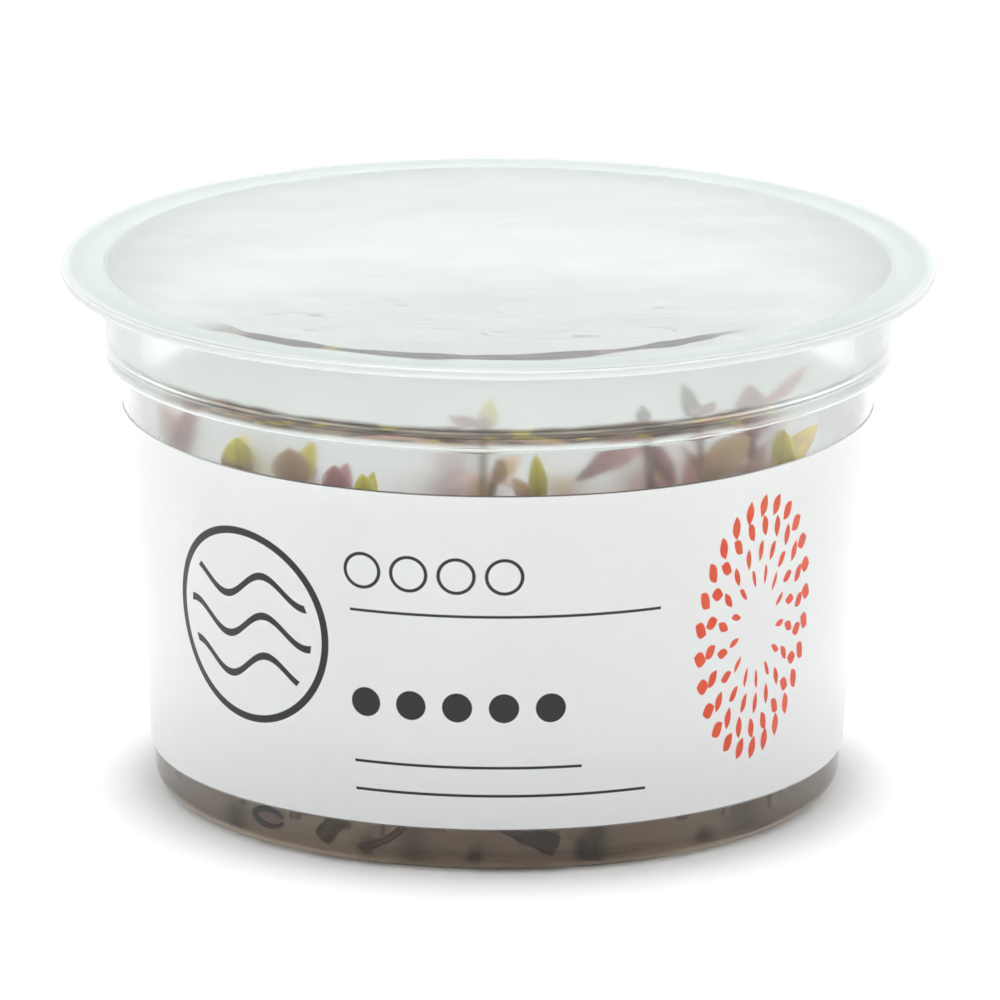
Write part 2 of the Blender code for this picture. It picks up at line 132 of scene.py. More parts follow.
# Shoots
STEM_FOOT_HEIGHT = 3.0 * MM
STEM_FOOT_WIDTH = 1.5 * MM
STEM_TIP_WIDTH = 0.8 * MM
STEM_SIDES = 10
STEM_STEPS = 46
JOINT_SWELLING = 0.28  # of the stem's width, at each leaf pair
JOINT_REACH = 0.012  # of the stem's length
LEAF_WIDTH = 0.44
LEAF_MARGIN = 0.6 * MM
LEAF_THICKNESS = 0.22 * MM
BLADE_STEPS = 11
BLADE_SIDES = 8
LEAF_GLOW = (0.45, 0.5 * MM)
GREEN_BELOW = 0.35  # a shoot with less redness takes the green leaf slot
BUD_LENGTH = 0.34  # of the shoot's leaf length
BUD_WIDTH = 0.58  # of the bud leaf's own length
BUD_REDNESS = 1.3  # of the shoot's redness
FIRST_SEED = 100

LeafPair = namedtuple("LeafPair", "place length rise")
LEAF_PAIRS = (
    LeafPair(0.44, 0.85, 20),
    LeafPair(0.59, 1.00, 30),
    LeafPair(0.73, 1.00, 38),
    LeafPair(0.86, 0.90, 50),
    LeafPair(0.96, 0.70, 68),
)

# Foot (x, y), head (x, y, z), turn in degrees, leaf length, and how red. Millimetres.
Shoot = namedtuple("Shoot", "foot head turn leaf redness")
SHOOTS = (
    Shoot((-33.0, -8.0), (-36.0, -13.5, 43.5), 30, 8.0, 0.9),
    Shoot((-27.5, -20.0), (-29.4, -24.5, 43.0), 0, 8.0, 0.2),
    Shoot((-21.5, -24.5), (-23.2, -26.6, 43.5), 0, 8.0, 0.6),
    Shoot((-16.5, -28.5), (-18.3, -31.0, 42.0), -20, 7.0, 0.9),
    Shoot((-13.0, -33.0), (-15.0, -36.0, 41.5), -20, 6.0, 0.1),
    Shoot((-6.0, -28.0), (0.0, -27.6, 44.5), -30, 7.0, 0.7),
    Shoot((-2.0, -15.0), (-1.6, -16.0, 46.0), 0, 8.0, 0.6),
    Shoot((6.0, -31.0), (4.6, -34.2, 43.0), 0, 7.0, 0.2),
    Shoot((19.5, -23.5), (16.6, -26.5, 49.5), 0, 9.0, 1.0),
    Shoot((24.5, -22.0), (22.8, -19.5, 48.0), 30, 9.0, 0.8),
    Shoot((29.5, -13.5), (29.0, -15.5, 46.5), -20, 9.0, 0.9),
    Shoot((30.5, -20.5), (31.8, -22.7, 44.0), -38, 8.0, 0.2),
    Shoot((-12.0, -9.0), (-13.5, -8.0, 32.5), 50, 8.0, 0.8),
    Shoot((8.0, -10.0), (8.5, -9.0, 33.0), 5, 8.0, 0.9),
    Shoot((19.0, -6.0), (19.5, -5.5, 38.5), 90, 8.0, 0.7),
    Shoot((-34.0, 5.0), (-35.5, 4.0, 32.0), 80, 7.0, 0.8),
    Shoot((-21.0, 7.0), (-22.0, 8.0, 31.5), 25, 7.0, 1.0),
    Shoot((8.0, 7.0), (7.5, 8.5, 31.5), 40, 7.0, 0.3),
    Shoot((32.0, 10.0), (34.0, 10.5, 31.5), 50, 7.0, 0.7),
    Shoot((-27.0, 22.0), (-28.5, 23.5, 31.5), 70, 7.0, 0.3),
    Shoot((-6.0, 20.0), (-5.5, 21.5, 31.0), 30, 7.0, 0.8),
    Shoot((16.0, 24.0), (17.0, 25.5, 31.0), 55, 7.0, 0.5),
)

# Leaves that are told apart through the wall, by the shoot's number, then the leaf
# pair and the side of the stem, which both count from 0: where the tip lies, the
# width, how far the blade turns about its own length in degrees, and the redness at the
# stem and at the tip. Millimetres.
Leaf = namedtuple("Leaf", "tip width twist low high")
LEAVES = {
    (1, 3, 1): Leaf((-38.0, -14.2, 42.2), 2.8, 0, 0.8, 0.9),
    (1, 3, 3): Leaf((-31.6, -9.6, 39.6), 2.8, 0, 0.8, 0.9),
    (1, 4, 0): Leaf((-38.4, -13.2, 48.8), 2.8, 0, 0.7, 0.7),
    (1, 4, 2): Leaf((-34.8, -16.4, 49.4), 3.0, 0, 0.9, 1.0),
    (2, 4, 0): Leaf((-29.0, -22.4, 47.4), 3.6, 0, 0.5, 0.2),
    (2, 4, 2): Leaf((-29.5, -28.0, 48.6), 4.0, 0, 0.6, 0.0),
    (3, 4, 0): Leaf((-20.8, -25.4, 47.4), 2.8, 0, 0.2, 0.0),
    (3, 4, 2): Leaf((-23.7, -28.8, 47.6), 4.4, 0, 0.55, 0.6),
    (4, 4, 0): Leaf((-17.0, -30.2, 46.2), 3.0, 0, 0.9, 1.0),
    (4, 4, 2): Leaf((-18.3, -34.2, 47.0), 3.8, 0, 0.95, 1.0),
    (5, 4, 0): Leaf((-14.0, -35.0, 46.4), 2.6, 0, 0.15, 0.1),
    (5, 4, 2): Leaf((-15.2, -38.2, 47.1), 3.2, 0, 0.05, 0.0),
    (6, 3, 1): Leaf((-5.4, -28.6, 39.6), 2.6, 0, 0.6, 0.6),
    (6, 3, 3): Leaf((2.6, -30.4, 39.6), 2.6, 0, 0.6, 0.6),
    (6, 4, 0): Leaf((2.6, -25.4, 45.8), 2.4, 0, 0.5, 0.45),
    (6, 4, 2): Leaf((0.7, -30.0, 46.6), 2.0, 0, 0.65, 0.6),
    (7, 3, 1): Leaf((-6.4, -14.6, 38.4), 3.0, 0, 0.8, 0.9),
    (7, 3, 3): Leaf((3.6, -14.6, 38.4), 3.0, 0, 0.8, 0.9),
    (7, 4, 0): Leaf((-0.8, -14.2, 49.4), 2.6, 0, 0.4, 0.0),
    (7, 4, 2): Leaf((-5.6, -18.2, 48.4), 3.0, 0, 0.95, 1.0),
    (8, 4, 0): Leaf((1.6, -33.0, 45.2), 2.2, 0, 0.8, 0.6),
    (8, 4, 2): Leaf((4.3, -37.6, 49.2), 2.2, 0, 0.3, 0.0),
    (9, 2, 0): Leaf((18.5, -20.5, 40.0), 3.0, 0, 0.9, 1.0),
    (9, 2, 2): Leaf((17.2, -31.0, 41.0), 3.0, 0, 0.9, 1.0),
    (9, 3, 1): Leaf((13.0, -24.4, 38.6), 3.0, 0, 0.9, 1.0),
    (9, 3, 3): Leaf((21.4, -27.4, 38.8), 3.0, 0, 0.9, 1.0),
    (9, 4, 0): Leaf((20.4, -24.4, 41.6), 2.4, 0, 1.2, 1.2),
    (9, 4, 2): Leaf((8.6, -29.0, 43.6), 2.8, 0, 1.15, 1.3),
    (10, 3, 1): Leaf((20.6, -23.4, 46.6), 2.4, 0, 0.6, 0.6),
    (10, 3, 3): Leaf((28.6, -22.6, 47.2), 4.4, 40, 0.5, 0.45),
    (10, 4, 0): Leaf((21.0, -18.2, 52.4), 2.6, 0, 1.35, 1.3),
    (10, 4, 2): Leaf((24.6, -21.4, 51.2), 2.8, 0, 1.1, 1.1),
    (11, 4, 0): Leaf((35.4, -13.0, 53.4), 2.2, 0, 1.0, 1.0),
    (11, 4, 2): Leaf((28.8, -18.2, 52.4), 4.0, 0, 1.0, 1.0),
    (12, 3, 1): Leaf((28.0, -18.4, 39.4), 2.8, 0, 0.4, 0.4),
    (12, 4, 0): Leaf((36.2, -21.6, 48.6), 3.2, 0, 0.4, 0.35),
    (12, 4, 2): Leaf((32.4, -26.6, 49.3), 3.4, 0, 0.05, 0.0),
}

# Old stems and the curled leaf in the gel
Offcut = namedtuple("Offcut", "width points")
OFFCUTS = (
    Offcut(2.3, ((-19.4, 2.6), (-17.4, 5.6), (-15.6, 8.6))),
    Offcut(0.9, ((-15.3, 2.2), (-13.0, 3.0), (-10.6, 5.0), (-9.4, 8.0))),
    Offcut(2.5, ((6.6, 2.9), (2.2, 5.2), (-2.4, 8.0))),
)
OFFCUT_INSET = 0.3 * MM
OFFCUT_SIDES = 14
CURL_ANGLE = -42.0
CURL_HEIGHT = 3.6 * MM
CURL_HALF_LENGTH = 2.5 * MM
CURL_HALF_HEIGHT = 1.3 * MM
CURL_INSET = 1.05 * MM
CURL_STEPS = 40
CURL_BED = ((0.0, 0.42), (0.5, 0.36), (0.95, 0.12), (0.95, -0.06), (0.5, 0.2), (0.0, 0.26))

# Camera
CAMERA_ELEVATION = 15.23
CAMERA_DISTANCE = 1.5
CAMERA_LENS = 465.4
CAMERA_ROLL = 0.18
CAMERA_AIM = (0.26 * MM, 0.0, 33.4 * MM)

# Studio
STAGE_REACH = 6.0
STAGE_DROP = 0.02 * MM
STAGE_WHITE = (0.95, 0.95, 0.95, 1.0)
WORLD_WHITE = (1.0, 1.0, 1.0, 1.0)
WORLD_STRENGTH = 1.0
MOST_BOUNCES = 12
DIFFUSE_BOUNCES = 5
Softbox = namedtuple("Softbox", "name size energy location")
SOFTBOXES = (
    Softbox("overhead_softbox", 0.2, 1.1, (0.0, 0.02, 0.3)),
    Softbox("front_softbox", 1.0, 2.4, (0.0, -1.2, 0.25)),
)


def srgb(red, green, blue):
    """The colour that shows as these 0 to 255 values, as a shader takes it."""
    linear = []
    for value in (red, green, blue):
        share = value / 255
        linear.append(share / 12.92 if share <= 0.04045 else ((share + 0.055) / 1.055) ** 2.4)
    return (*linear, 1.0)


class Term:
    """A value in a node tree, which takes plain arithmetic."""

    def __init__(self, finish, socket):
        self.finish = finish
        self.socket = socket

    def __add__(self, other):
        return self.finish.maths("ADD", self, other)

    def __sub__(self, other):
        return self.finish.maths("SUBTRACT", self, other)

    def __rsub__(self, other):
        return self.finish.maths("SUBTRACT", other, self)

    def __mul__(self, other):
        return self.finish.maths("MULTIPLY", self, other)

    def __truediv__(self, other):
        return self.finish.maths("DIVIDE", self, other)

    def __abs__(self):
        return self.finish.maths("ABSOLUTE", self)


class Finish:
    """A material, its Principled shader, and short calls that add nodes to it."""

    def __init__(self, name, **plain):
        self.material = bpy.data.materials.new(name)
        self.material.use_nodes = True
        self.tree = self.material.node_tree
        self.shader = self.tree.nodes["Principled BSDF"]
        for socket, value in plain.items():
            self.shader.inputs[socket.replace("_", " ")].default_value = value

    def feed(self, socket, value):
        if isinstance(value, Term):
            self.tree.links.new(value.socket, socket)
        else:
            socket.default_value = value

    def node(self, kind, settings, inputs, output=0):
        made = self.tree.nodes.new("ShaderNode" + kind)
        for name, value in settings.items():
            setattr(made, name, value)
        for name, value in inputs.items():
            self.feed(made.inputs[name], value)
        return Term(self, made.outputs[output])

    def maths(self, operation, *values):
        return self.node("Math", {"operation": operation}, dict(enumerate(values)))

    def place(self):
        """X, Y and Z in the object's own frame, in millimetres."""
        position = self.node("TexCoord", {}, {}, "Object")
        return [self.node("SeparateXYZ", {}, {0: position}, axis) / MM for axis in "XYZ"]

    def around(self, x, y):
        """Radians round the axis from the front, growing to the reader's right."""
        return self.maths("ARCTAN2", x, 0.0 - y)

    def length(self, x, y):
        return self.maths("SQRT", x * x + y * y)

    def wrap(self, value, half):
        """The value repeated over the range from minus half to half."""
        return self.maths("WRAP", value, half, -half)

    def attribute(self, name):
        return self.node("Attribute", {"attribute_name": name}, {}, "Fac")

    def noise(self, size, detail=2.0, stretch=(1, 1, 1)):
        """Soft noise from 0 to 1, with lumps of about this size in millimetres."""
        position = self.node("TexCoord", {}, {}, "Object")
        scaled = self.node("Mapping", {}, {"Vector": position, "Scale": stretch})
        return self.node(
            "TexNoise", {}, {"Vector": scaled, "Scale": 1 / (size * MM), "Detail": detail}, "Fac"
        )

    def grain(self, x, y, seed, detail=2.0):
        """Soft noise over two values of the builder's own, with lumps of about 1 in each."""
        vector = self.node("CombineXYZ", {}, {0: x, 1: y, 2: seed})
        return self.node("TexNoise", {}, {"Vector": vector, "Scale": 1.0, "Detail": detail}, "Fac")

    def spread(self, value, start, end, low=0.0, high=1.0):
        """Low where the value is at start, high where it is at end, and smooth between."""
        return self.node(
            "MapRange",
            {"interpolation_type": "SMOOTHSTEP"},
            {"Value": value, "From Min": start, "From Max": end, "To Min": low, "To Max": high},
        )

    def below(self, value, limit, blur=0.05):
        return self.spread(value, limit - blur, limit + blur, 1.0, 0.0)

    def near(self, value, centre, half, blur=0.05):
        return self.below(abs(value - centre), half, blur)

    def mix(self, share, first, second):
        made = self.tree.nodes.new("ShaderNodeMix")
        made.data_type = "RGBA"
        self.feed(made.inputs[0], share)
        self.feed(made.inputs[6], first)
        self.feed(made.inputs[7], second)
        return Term(self, made.outputs[2])

    def paint(self, **linked):
        for socket, value in linked.items():
            self.feed(self.shader.inputs[socket.replace("_", " ")], value)

    def bump(self, height, strength, distance):
        normal = self.node(
            "Bump", {}, {"Height": height, "Strength": strength, "Distance": distance}
        )
        self.feed(self.shader.inputs["Normal"], normal)

    def glow_through(self, weight, reach):
        """Lets some light through the paper or leaf, this far in metres."""
        self.shader.inputs["Subsurface Weight"].default_value = weight
        self.shader.inputs["Subsurface Radius"].default_value = (1.0, 1.0, 1.0)
        self.shader.inputs["Subsurface Scale"].default_value = reach

    def dim_mirror(self, share):
        """Leaves only this share of what the surface mirrors."""
        self.shader.inputs["Specular Tint"].default_value = (share, share, share, 1.0)

    def tint_inside(self, colour, density):
        """Plain absorption, for what is clear all through."""
        volume = self.tree.nodes.new("ShaderNodeVolumeAbsorption")
        volume.inputs["Color"].default_value = colour
        volume.inputs["Density"].default_value = density
        output = self.tree.nodes["Material Output"]
        self.tree.links.new(volume.outputs[0], output.inputs["Volume"])


class Shape:
    """Points, faces and values at the points, which become one mesh."""

    def __init__(self, *values):
        self.points = []
        self.faces = []
        self.values = {name: [] for name in values}

    def add(self, point, **values):
        self.points.append(tuple(point))
        for name, kept in self.values.items():
            kept.append(values.get(name, 0.0))
        return len(self.points) - 1

    def join(self, first, second):
        """Faces between two closed rings, or between a ring and one point."""
        count = max(len(first), len(second))
        for i in range(count):
            j = (i + 1) % count
            if len(first) == 1:
                self.faces.append((first[0], second[j], second[i]))
            elif len(second) == 1:
                self.faces.append((first[i], first[j], second[0]))
            else:
                self.faces.append((first[i], first[j], second[j], second[i]))

    def piece(self, name, nodes, finishes, sharp=None, pick=None):
        """The finished object, which rides on the cup and stands for its plain solids."""
        mesh = bpy.data.meshes.new(name)
        mesh.from_pydata(self.points, [], self.faces)
        mesh.validate()
        for value, kept in self.values.items():
            layer = mesh.attributes.new(value, "FLOAT", "POINT")
            layer.data.foreach_set("value", kept)
        mesh.shade_smooth()
        if sharp:
            mesh.set_sharp_from_angle(angle=math.radians(sharp))
        for finish in finishes:
            mesh.materials.append(finish.material)
        if pick:
            for face in mesh.polygons:
                face.material_index = pick(face.center)
        obj = bpy.data.objects.new(name, mesh)
        bpy.context.scene.collection.objects.link(obj)
        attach(obj, "root")
        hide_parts(*nodes)


def arc(centre, radius, start, end, steps):
    """Profile points (r, z) along an arc, with its angles in degrees."""
    points = []
    for i in range(steps + 1):
        angle = math.radians(start + (end - start) * i / steps)
        points.append((centre[0] + radius * math.cos(angle), centre[1] + radius * math.sin(angle)))
    return points


def run(first, last, steps):
    """Profile points from the first to just before the last."""
    (r0, z0), (r1, z1) = first, last
    return [(r0 + (r1 - r0) * i / steps, z0 + (z1 - z0) * i / steps) for i in range(steps)]


def turn_profile(shape, profile, segments, place, **values):
    """A solid of revolution from a profile that starts and ends on the axis."""
    rings = []
    for k, (r, z) in enumerate(profile):
        at = {name: kept[k] for name, kept in values.items()}
        if r == 0.0:
            rings.append([shape.add(place(0.0, 0.0, z), **at)])
            continue
        ring = []
        for i in range(segments):
            ring.append(shape.add(place(r, math.tau * i / segments, z), **at))
        rings.append(ring)
    for first, second in zip(rings, rings[1:]):
        shape.join(first, second)


def outer_radius(z):
    return BODY_FOOT_RADIUS + BODY_TAPER * z


def inner_radius(z):
    return outer_radius(z) - WALL


def cup_outside():
    base_centre = (outer_radius(BASE_CORNER) - BASE_CORNER, BASE_CORNER)
    step_centre = (SHOULDER_RADIUS - STEP_CORNER, STEP_HEIGHT + STEP_CORNER)
    neck_centre = (outer_radius(STEP_HEIGHT) + STEP_CORNER, STEP_HEIGHT - STEP_CORNER)
    flange_under = FLANGE_TOP - FLANGE_THICKNESS
    bead_under = FLANGE_TOP - BEAD_DEPTH
    bead_inner = FLANGE_RADIUS - BEAD_WIDTH
    points = run((0.0, 0.0), (base_centre[0], 0.0), 6)
    points += arc(base_centre, BASE_CORNER, -90, 0, 10)
    points += run(points[-1], (neck_centre[0] - STEP_CORNER, neck_centre[1]), 14)[1:]
    points += arc(neck_centre, STEP_CORNER, 180, 90, 5)
    points += arc(step_centre, STEP_CORNER, -90, 0, 6)
    shoulder_foot = (SHOULDER_RADIUS, STEP_HEIGHT + 2 * STEP_CORNER)
    points += run(shoulder_foot, (SHOULDER_RADIUS, flange_under), 5)
    under_corner = (SHOULDER_RADIUS + EDGE_ROUND, flange_under - EDGE_ROUND)
    points += arc(under_corner, EDGE_ROUND, 180, 90, 4)
    points += [(bead_inner - EDGE_ROUND, flange_under), (bead_inner, bead_under + EDGE_ROUND)]
    points += arc((bead_inner + EDGE_ROUND, bead_under + EDGE_ROUND), EDGE_ROUND, 180, 270, 3)
    points += arc((FLANGE_RADIUS - EDGE_ROUND, bead_under + EDGE_ROUND), EDGE_ROUND, 270, 360, 4)
    points += arc((FLANGE_RADIUS - EDGE_ROUND, FLANGE_TOP - EDGE_ROUND), EDGE_ROUND, 0, 90, 4)
    return points


def cup_inside():
    """From the flange's top inwards and down to the middle of the floor."""
    shoulder_inside = SHOULDER_RADIUS - SHOULDER_WALL
    ledge_centre = (shoulder_inside - LEDGE_CORNER, LEDGE_HEIGHT + LEDGE_CORNER)
    lip = 2 * EDGE_ROUND
    rim = (FLANGE_RADIUS - 2 * EDGE_ROUND, FLANGE_TOP)
    points = run(rim, (shoulder_inside + lip, FLANGE_TOP), 4)
    points += arc((shoulder_inside + lip, FLANGE_TOP - lip), lip, 90, 180, 6)
    points += run((shoulder_inside, FLANGE_TOP - 2 * lip), (shoulder_inside, ledge_centre[1]), 5)
    points += arc(ledge_centre, LEDGE_CORNER, 0, -90, 8)
    brow = inner_radius(LEDGE_HEIGHT) - EDGE_ROUND
    points += arc((brow + 2 * EDGE_ROUND, LEDGE_HEIGHT - EDGE_ROUND), EDGE_ROUND, 90, 180, 3)
    corner_height = FLOOR + FLOOR_CORNER
    corner_centre = (inner_radius(corner_height) - FLOOR_CORNER, corner_height)
    points += run(points[-1], (inner_radius(corner_height), corner_height), 14)[1:]
    points += arc(corner_centre, FLOOR_CORNER, 0, -90, 8)
    points += run(points[-1], (0.0, FLOOR), 6)[1:]
    points.append((0.0, FLOOR))
    return points


def cup_place(r, angle, z):
    """Where a point of the cup goes: the flange waves a little, as thin mouldings do."""
    out = max(0.0, (r - SHOULDER_RADIUS) / (FLANGE_RADIUS - SHOULDER_RADIUS))
    wave = math.sin(3 * angle + 0.6) + 0.5 * math.sin(7 * angle + 2.0)
    return (r * math.cos(angle), r * math.sin(angle), z + FLANGE_WAVE * wave * out)


def body_finish():
    """Clear plastic, fogged inside but for the gel and one wet leaf, and tinted grey in front below
    the leaf tops as painted shade.
    """
    finish = Finish("clear_body", IOR=PLASTIC_IOR, Transmission_Weight=1.0)
    finish.dim_mirror(0.7)
    x, y, z = finish.place()
    # Painted shade: the wall is tinted grey in front, below the leaf tops, so the view between the
    # shoots looks darker.
    painted_front_shade = finish.near(finish.around(x, y), 0.12, 0.42, 0.16) * finish.below(z, 47.6, 1.8)
    clear = finish.mix(painted_front_shade, srgb(253, 255, 254), srgb(234, 233, 230))
    fog = finish.spread(finish.noise(9.0, 1.0), 0.3, 0.7, 0.14, 0.23)
    fog = fog * finish.attribute("inside") * finish.spread(z, GEL_TOP / MM - 1, GEL_TOP / MM + 3)
    wet_x, wet_y, wet_z = WET_SPOT
    wet = finish.length(finish.length(x - wet_x, y - wet_y), z - wet_z)
    fog = fog * finish.spread(wet, 2.6, 4.6, 0.1, 1.0)
    finish.paint(Base_Color=clear, Roughness=fog + 0.02)
    return finish


def shoulder_finish():
    """Milkier plastic, with a painted band on the ledge in brown, pink and yellow that stands in
    for the plants below seen refracted through it.
    """
    finish = Finish("milky_shoulder", IOR=PLASTIC_IOR, Transmission_Weight=0.78)
    x, y, z = finish.place()
    turn = finish.around(x, y)
    clean = finish.mix(finish.noise(12.0, 1.0), srgb(246, 250, 248), srgb(240, 246, 243))
    streak = finish.grain(turn * 8.0, z * 1.6, 3.0, 3.0)
    refracted_plants = finish.mix(finish.spread(streak, 0.35, 0.65), srgb(84, 77, 71), srgb(146, 134, 118))
    refracted_yellow = finish.spread(finish.grain(turn * 9.0, z * 0.8, 11.0, 1.0), 0.57, 0.63)
    refracted_plants = finish.mix(refracted_yellow * 0.8, refracted_plants, srgb(186, 174, 70))
    refracted_pink = finish.spread(finish.grain(turn * 7.0, z * 1.0, 23.0, 1.0), 0.56, 0.64)
    refracted_plants = finish.mix(refracted_pink * 0.7, refracted_plants, srgb(186, 140, 116))
    lie = finish.grain(turn * 5.0, 0.0, 31.0, 2.0)
    # Painted refraction: a band just over the step, mostly in front, where the plants below would
    # show through the ledge.
    low = finish.spread(z, 51.9, 52.5)
    high = finish.below(z - lie * 1.6, 53.2, 0.35)
    where = low * high * finish.below(abs(turn + 0.08), 0.8, 0.2)
    mist = finish.spread(abs(turn), 0.95, 1.25, 0.08, 0.35) + finish.spread(z, 58.6, 60.4) * 0.25
    finish.paint(
        Base_Color=finish.mix(where, clean, refracted_plants),
        Roughness=mist * finish.attribute("inside") + 0.06,
    )
    return finish


def flange_finish():
    """The same plastic, pale grey over the flat, with a painted highlight that makes the bead round
    it whiter.
    """
    finish = Finish("milky_flange", IOR=PLASTIC_IOR, Transmission_Weight=0.6, Roughness=0.4)
    x, y, _ = finish.place()
    r = finish.length(x, y)
    colour = finish.mix(finish.spread(r, 46.4, 48.6), srgb(240, 246, 243), srgb(226, 232, 230))
    # Painted highlight: the bead is painted near white all round.
    finish.paint(Base_Color=finish.mix(finish.spread(r, 49.2, 49.8), colour, srgb(252, 254, 253)))
    return finish


def cup_part(centre):
    """0 in the body, 1 in the shoulder and 2 in the flange."""
    if centre.z < STEP_HEIGHT:
        return 0
    return 1 if centre.z < FLANGE_TOP - 1.5 * MM else 2


def make_cup():
    outside, inside = cup_outside(), cup_inside()
    shape = Shape("inside")
    values = [0.0] * len(outside) + [1.0] * len(inside)
    turn_profile(shape, outside + inside, CUP_SEGMENTS, cup_place, inside=values)
    finishes = [body_finish(), shoulder_finish(), flange_finish()]
    shape.piece("clear_cup", ["cup"], finishes, sharp=60, pick=cup_part)


def film_height(r, angle):
    """The film's height over a flat lid: it sags in the mouth and is finely wrinkled."""
    mouth = SHOULDER_RADIUS - SHOULDER_WALL
    inward = min(1.0, r / mouth)
    sag = -FILM_SAG * (1 - inward**2) ** 1.5
    x, y = r * math.cos(angle), r * math.sin(angle)
    free = max(0.0, 1 - inward**6)
    ripple = perlin.noise(Vector((x / 0.009, y / 0.021, 3.0)))
    crumple = perlin.noise(Vector((x / 0.004 + 7.0, y / 0.008, 9.0)))
    return sag + (FILM_RIPPLE * ripple + FILM_CRUMPLE * crumple) * free


def film_finish():
    """Misted film, with painted shade in its fine creases, and a painted line round the mouth in
    front that runs dark and light grey with yellow and pink, standing in for shade and for the
    plants seen through the film there.
    """
    finish = Finish("clear_lid_film", IOR=FILM_IOR, Transmission_Weight=0.89)
    x, y, _ = finish.place()
    haze = finish.noise(14.0, 4.0, (1, 2.2, 1))
    colour = finish.mix(haze, srgb(236, 241, 239), srgb(232, 238, 236))
    # Painted shade: thin grey lines along fine creases, only in the front of the mouth.
    fold = finish.grain(x * 0.05, y * 0.16, 5.0, 1.0)
    crease_shade = finish.near(fold, 0.5, 0.004, 0.003)
    crease_shade = crease_shade * finish.spread(finish.noise(9.0, 1.0), 0.5, 0.58) * finish.below(y, -16.0, 6.0)
    turn = finish.around(x, y)
    r = finish.length(x, y)
    mouth = finish.below(r, 43.0, 2.0)
    colour = finish.mix(crease_shade * mouth * 0.8, colour, srgb(186, 190, 188))
    # Painted shade and painted plants seen through: a line round the mouth, at the front only,
    # whose width and place wander.
    drawn_in = finish.maths("EXPONENT", (turn - 0.62) * (turn - 0.62) * -6.5) * 2.6
    wander = finish.grain(turn * 3.5, 0.0, 7.0, 1.0)
    seam = 45.3 - drawn_in - wander * 1.2
    swell = finish.spread(finish.grain(turn * 4.0, 0.0, 17.0, 1.0), 0.3, 0.65, 0.3, 1.9)
    front = finish.below(abs(turn + 0.05), 0.72, 0.12)
    dark = finish.near(r, seam, swell, 0.12) * front
    line = finish.mix(finish.grain(turn * 9.0, r * 0.8, 2.0), srgb(96, 97, 97), srgb(158, 158, 156))
    refracted_yellow = finish.spread(finish.grain(turn * 6.0, 0.0, 41.0, 1.0), 0.62, 0.68)
    line = finish.mix(refracted_yellow * 0.6, line, srgb(190, 184, 110))
    refracted_pink = finish.spread(finish.grain(turn * 5.0, 0.0, 47.0, 1.0), 0.6, 0.66)
    line = finish.mix(refracted_pink * 0.6, line, srgb(182, 160, 166))
    colour = finish.mix(dark, colour, line)
    finish.paint(Base_Color=colour, Roughness=finish.spread(haze, 0.3, 0.7, 0.18, 0.22))
    finish.bump(finish.noise(3.0, 3.0, (1, 2.5, 1)) * mouth, 0.3, 0.05 * MM)
    return finish


def make_film():
    under = FLANGE_TOP - FILM_BOND
    profile = []
    for k in range(FILM_RINGS + 1):
        profile.append((FILM_RADIUS * k / FILM_RINGS, under))
    profile += [(r, z + FILM_THICKNESS) for r, z in reversed(profile)]

    def place(r, angle, z):
        return (r * math.cos(angle), r * math.sin(angle), z + film_height(r, angle))

    shape = Shape()
    turn_profile(shape, profile, CUP_SEGMENTS, place)
    shape.piece("sealed_film", ["lid_film"], [film_finish()], sharp=60)


def ring_print(finish, u, v):
    """Where the ink of a plain ring with three waves in it lies, at the label's left."""
    along, up = u + RING_PLACE[0], v - RING_PLACE[1]
    out = finish.length(along, up)
    ring = finish.near(out, RING_RADIUS, RING_LINE)
    wave = up - finish.maths("SINE", along * 0.54) * 1.5
    lines = finish.near(finish.wrap(wave, WAVE_GAP / 2), 0.0, RING_LINE)
    lines = lines * finish.below(abs(wave), 7.0)
    return finish.maths("MAXIMUM", ring, lines * finish.below(out, 9.4))


def rule_print(finish, u, v):
    """Where the ink of the open circles, the ruled lines and the row of dots lies."""
    circle = finish.length(finish.wrap(u + ROW_START, ROW_GAP / 2), v - CIRCLES_UP)
    ink = finish.near(circle, CIRCLE_RADIUS, 0.2) * finish.near(u, -7.3, 10.7)
    for rule in RULES:
        line = finish.near(v, rule.up, RULE_LINE)
        ink = ink + line * finish.near(u, rule.middle, rule.half)
    dot = finish.length(finish.wrap(u + ROW_START, ROW_GAP / 2), v - DOTS_UP)
    row = finish.near(u, -4.6, 13.4)
    return ink + finish.below(dot, DOT_RADIUS) * row


def wreath_print(finish, u, v):
    """Where the ink of an oval wreath of small leaves lies, at the label's right."""
    wide, high = WREATH_HALF
    across, up = u - WREATH_PLACE[0], v - WREATH_PLACE[1]
    turn = finish.maths("ARCTAN2", up / high, across / wide)
    out = (finish.length(across / wide, up / high) - 1.0) * 7.6
    ink = 0.0
    for offset, count, lean in LEAF_ROWS:
        cell = finish.wrap(turn * (count / math.tau) + offset, 0.5) * (WREATH_GIRTH / count)
        along = out - offset + cell * lean
        side = cell - (out - offset) * lean * 0.6
        leaf = finish.below(abs(side) + along * along * 0.42, 0.56, 0.08)
        ink = finish.maths("MAXIMUM", ink, leaf)
    return ink


def label_back_finish():
    """The bare white side towards the cup, which lights the inside."""
    white = srgb(254, 254, 254)
    finish = Finish("label_back", Specular_IOR_Level=LABEL_GLOSS, Roughness=0.4, Base_Color=white)
    finish.glow_through(*LABEL_GLOW)
    return finish


